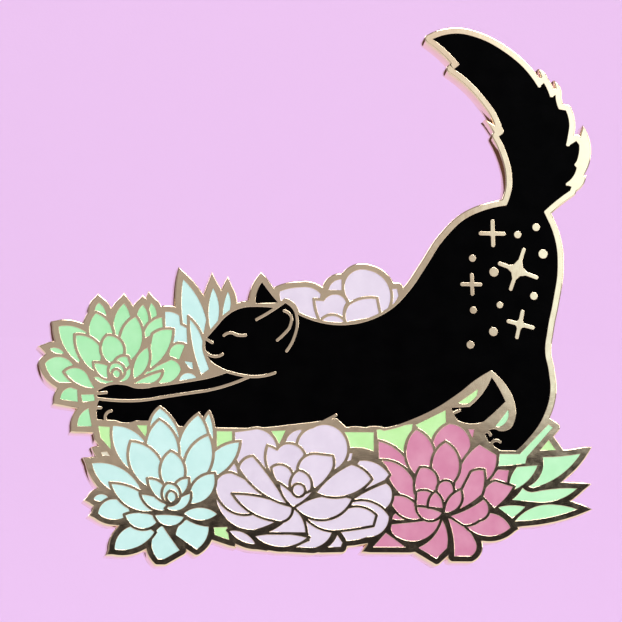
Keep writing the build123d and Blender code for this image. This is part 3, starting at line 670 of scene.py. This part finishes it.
@dataclass
class EnamelFills:
    """The enamel in its cells, one piece for each colour area, drawn up a little at the walls."""

    shades: dict[str, Shade] = field(
        default_factory=lambda: {
            "cat": Shade.BLACK,
            "aqua_heart": Shade.AQUA,
            "aqua_inner": Shade.AQUA,
            "aqua_outer": Shade.AQUA,
            "lilac_heart": Shade.LILAC,
            "lilac_inner": Shade.LILAC,
            "lilac_outer": Shade.LILAC,
            "pink_heart": Shade.PINK,
            "pink_inner": Shade.PINK,
            "pink_outer": Shade.PINK,
            "green_heart": Shade.GREEN,
            "green_inner": Shade.GREEN,
            "green_outer": Shade.GREEN,
            "spikes": Shade.AQUA,
            "back_lilac": Shade.LILAC,
            "leaves": Shade.MINT,
            "moss": Shade.LIME,
            "cream": Shade.CREAM,
        }
    )
    climb: float = 0.015 * MM
    reach: float = 0.05 * MM

    def build(self) -> None:
        """Builds every fill."""
        looks = {shade: HardEnamel(shade) for shade in Shade}
        looks[Shade.BLACK] = HardEnamel(Shade.BLACK, 0.002, 0.10, 0.01)
        made = {
            shade: look.material(f"hard_enamel_{shade.name.lower()}")
            for shade, look in looks.items()
        }
        slots = {p["node"]: p["material_slot"] for p in frame["record"]["subparts"]}
        edging = Edging(self.reach, -self.climb)
        for area, shade in self.shades.items():
            node = f"enamel_{area}"
            fill = FaceEdger(node, lambda place, side: edging).build(f"fill_{area}")
            dress(fill, made[shade], "pin", slots[node], node)


@dataclass
class PostHardware:
    """A post, its solder and its clutch, on one side of the pin.

    Attributes:
        side: left or right.
    """

    side: str
    brass: bpy.types.Material
    post_metal: bpy.types.Material
    solder: bpy.types.Material

    def foot(self, node: str) -> Vector:
        """Start of the node's axis: the middle of its lowest circle in Y."""
        low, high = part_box(node)
        return Vector(((low.x + high.x) / 2, low.y, (low.z + high.z) / 2))

    def build(self) -> None:
        """Builds this side's pieces."""
        side = self.side
        self.build_post()
        self.build_solder()
        eyelet = Turned(softened(
            [(0.62, 0.0), (1.7, 0.0), (1.7, 0.29), (0.96, 0.29), (0.96, 0.76), (1.5, 0.76),
             (1.5, 1.0), (0.62, 1.0)], 0.07))
        name = f"guide_eyelet_{side}"
        piece = eyelet.build(f"eyelet_{side}", self.foot(name))
        dress(piece, self.brass, f"eyelet_{side}", "clutch_brass", name)
        self.build_disc()
        self.dress_cad(f"clutch_cap_{side}", f"clutch_{side}")
        for wing in ("a", "b"):
            self.dress_cad(f"wing_{side}_{wing}", f"wing_{side}_{wing}")

    def build_post(self) -> None:
        """Builds the post: flat foot, shaft, locking groove and sharp tip."""
        outline = [
            (0.0, 0.0), (1.6, 0.0), (1.6, 0.4), (0.62, 0.4), (0.55, 0.5), (0.55, 6.0),
            (0.46, 6.14), (0.43, 6.3), (0.45, 6.46), (0.53, 6.6), (0.30, 7.3), (0.0, 8.0),
        ]
        node = f"post_{self.side}"
        piece = Turned(softened(outline, 0.05)).build(f"sharp_post_{self.side}", self.foot(node))
        dress(piece, self.post_metal, "pin", "post_brass", node)

    def build_solder(self) -> None:
        """Builds the soft ring of solder round the post's foot, a little uneven."""
        foot = self.foot(f"post_{self.side}")
        steps, rings = 72, 7
        foot_radius, reach, climb = 1.6, 0.41, 0.28
        verts: list[Vector] = []
        for step in range(steps):
            turn = 2 * math.pi * step / steps
            spread = 1 + 0.035 * math.sin(3 * turn + 0.6) + 0.02 * math.sin(7 * turn)
            for ring in range(rings):
                t = ring / (rings - 1)
                radius = foot_radius + reach * spread * t
                height = climb * (1 - t) ** 2
                way = Vector((math.cos(turn) * radius, height, math.sin(turn) * radius))
                verts.append(foot + way * MM)
            inner = Vector((math.cos(turn) * foot_radius, 0.0, math.sin(turn) * foot_radius))
            verts.append(foot + inner * MM)
        count = rings + 1
        faces = []
        for step in range(steps):
            here, after = step * count, (step + 1) % steps * count
            for k in range(count):
                following = (k + 1) % count
                faces.append((here + k, here + following, after + following, after + k))
        piece = object_of(f"solder_{self.side}", verts, faces)
        dress(piece, self.solder, "pin", "solder", "solder")

    def build_disc(self) -> None:
        """Builds the clutch's disc with its rolled edge."""
        bead, roll, middle, thick = 5.3, 0.45, 0.525, 0.35
        low, high = middle - thick / 2, middle + thick / 2
        outer = [
            (bead + roll * math.cos(a), middle + roll * math.sin(a))
            for a in (math.radians(-157 + 314 * k / 20) for k in range(21))
        ]
        profile = [(1.02, high), (1.02, low), *outer]
        node = f"clutch_disc_{self.side}"
        low_corner, high_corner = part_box(node)
        foot = Vector((
            (low_corner.x + high_corner.x) / 2,
            (low_corner.y + high_corner.y) / 2 - middle * MM,
            (low_corner.z + high_corner.z) / 2,
        ))
        piece = Turned(tuple(profile)).build(f"disc_{self.side}", foot)
        dress(piece, self.brass, f"clutch_{self.side}", "clutch_brass", node)

    def dress_cad(self, node: str, body: str) -> None:
        """Gives a stamped sheet softly rounded edges and its metal.

        Args:
            node: The CAD node.
            body: The body that it belongs to.
        """
        piece = frame["nodes"][node]
        piece.data.materials.clear()
        piece.data.materials.append(self.brass)
        weld = piece.modifiers.new("join_faces", "WELD")
        weld.merge_threshold = WELD
        bevel = piece.modifiers.new("broken_edges", "BEVEL")
        bevel.width = 0.04 * MM
        bevel.segments = 2
        bevel.limit_method = "ANGLE"
        bevel.angle_limit = math.radians(40)
        bevel.use_clamp_overlap = True
        LOG.info("%s: dressed, on %s", node, body)


# ---------------------------------------------------------------- stage, light and camera


@dataclass
class Studio:
    """A pale sweep of paper, soft lamps and the camera.

    Attributes:
        floor: Height of the floor.
        wall: How far behind the pin the sweep rises.
        azimuth: Camera's angle round the pin, in degrees.
        elevation: Camera's angle above the horizon, in degrees.
        roll: Camera's turn about its own line of sight, in degrees.
        distance: Camera's distance from the pin.
        aim: The point that the camera looks at.
        width: Width of the view at the pin.
        room: Colour of the room's even light.
        room_strength: Strength of the room's even light.
    """

    floor: float = -0.16
    wall: float = 0.75
    azimuth: float = -11.0
    elevation: float = -11.0
    roll: float = -1.2
    distance: float = 0.38
    aim: Vector = field(default_factory=lambda: Vector((-0.97, -1.8, -0.575)) * MM)
    width: float = 54.2 * MM
    room: Colour = (0.95, 0.85, 0.88)
    room_strength: float = 0.34

    def build(self) -> None:
        """Builds the stage, the lamps and the camera."""
        self.build_sweep()
        self.build_cards()
        self.build_lamps()
        self.build_camera()

    def build_sweep(self) -> None:
        """Builds the floor that curves up into the wall behind."""
        bend, half = 0.3, 1.6
        line: list[Point] = [(-1.6, self.floor), (self.wall - bend, self.floor)]
        for step in range(1, 13):
            turn = math.radians(90 * step / 12)
            line.append((
                self.wall - bend + bend * math.sin(turn),
                self.floor + bend * (1 - math.cos(turn)),
            ))
        line.append((self.wall, 1.4))
        verts = [Vector((x, y, z)) for y, z in line for x in (-half, half)]
        faces = [(2 * k, 2 * k + 1, 2 * k + 3, 2 * k + 2) for k in range(len(line) - 1)]
        sweep = object_of("paper_sweep", verts, faces)
        paper = Sweep((0.74, 0.72, 0.71), (0.82, 0.58, 0.91))
        sweep.data.materials.append(paper.material("pale_paper"))

    def card(
        self, name: str, across: Point, heights: Point, back: float, look: GlowCard | Plain
    ) -> None:
        """Stands a flat card square to Y.

        Args:
            name: The card's name.
            across: Places of its sides along X.
            heights: Its lower and upper edge.
            back: Its place along Y.
            look: Its finish.
        """
        (left, right), (low, high) = across, heights
        corners = [(left, back, low), (right, back, low), (right, back, high), (left, back, high)]
        card = object_of(name, [Vector(c) for c in corners], [(0, 1, 2, 3)])
        card.data.materials.append(look.material(name))

    def build_cards(self) -> None:
        """Stands the card that the flat metal mirrors, and the dark one for the left walls."""
        self.card("mirror_card", (-0.05, 0.50), (0.0, 0.42), -1.0, GlowCard())
        dark = Plain((0.10, 0.045, 0.025))
        self.card("dark_card", (-0.80, -0.105), (-0.15, 0.45), 0.70, dark)

    def lamp(self, name: str, place: Vector, size: Point, power: float, colour: Colour) -> None:
        """Adds a soft rectangular lamp that faces the pin.

        Args:
            name: The lamp's name.
            place: Where it hangs.
            size: Its width and height.
            power: Its power in watts.
            colour: Its colour.
        """
        data = bpy.data.lights.new(name, "AREA")
        data.shape = "RECTANGLE"
        data.size, data.size_y = size
        data.energy = power
        data.color = colour
        lamp = bpy.data.objects.new(name, data)
        lamp.location = place
        lamp.rotation_mode = "QUATERNION"
        lamp.rotation_quaternion = (self.aim - place).to_track_quat("-Z", "Y")
        bpy.context.scene.collection.objects.link(lamp)

    def build_lamps(self) -> None:
        """Adds the lamps and the even light of the room."""
        self.lamp("large_soft_lamp", Vector((0.45, -0.75, 0.85)), (0.8, 0.5), 11.0, (1, 0.98, 0.96))
        self.lamp("side_soft_lamp", Vector((0.8, -0.25, 0.3)), (0.4, 0.5), 3.0, (1, 0.95, 0.88))
        self.lamp("rear_soft_lamp", Vector((-0.4, 0.55, 0.6)), (0.6, 0.4), 3.5, (1, 1, 1))
        world = bpy.data.worlds.new("room")
        world.use_nodes = True
        background = world.node_tree.nodes["Background"]
        background.inputs["Color"].default_value = (*self.room, 1)
        background.inputs["Strength"].default_value = self.room_strength
        bpy.context.scene.world = world

    def build_camera(self) -> None:
        """Sets the camera at its angle round the pin, with a long lens."""
        turn, rise = math.radians(self.azimuth), math.radians(self.elevation)
        back = Vector((
            math.sin(turn) * math.cos(rise), -math.cos(turn) * math.cos(rise), math.sin(rise)
        ))
        data = bpy.data.cameras.new("long_lens")
        data.sensor_width = 36.0
        data.lens = data.sensor_width * self.distance / self.width
        data.clip_start, data.clip_end = 0.02, 20.0
        camera = bpy.data.objects.new("camera", data)
        camera.location = self.aim + back * self.distance
        camera.rotation_mode = "QUATERNION"
        level = (-back).to_track_quat("-Z", "Y")
        camera.rotation_quaternion = level @ Quaternion((0, 0, 1), math.radians(self.roll))
        bpy.context.scene.collection.objects.link(camera)
        bpy.context.scene.camera = camera


def main() -> None:
    logging.basicConfig(level=logging.INFO, format="%(name)s %(message)s")
    bpy.context.scene.view_settings.view_transform = "Standard"
    StruckPlate().build()
    EnamelFills().build()
    brass = Plating((0.90, 0.62, 0.27), (0.62, 0.38, 0.14), 0.14, 0.3).material("stamped_brass")
    post_metal = Plating(
        (0.86, 0.62, 0.32), (0.6, 0.42, 0.2), 0.2, 0.34, 0.3e-6, 0.05e-6
    ).material("turned_brass")
    solder = Plating((0.62, 0.62, 0.60), (0.4, 0.4, 0.39), 0.3, 0.5, 3e-5).material("soft_solder")
    for side in ("left", "right"):
        PostHardware(side, brass, post_metal, solder).build()
    Studio().build()


if __name__ == "__main__":
    main()
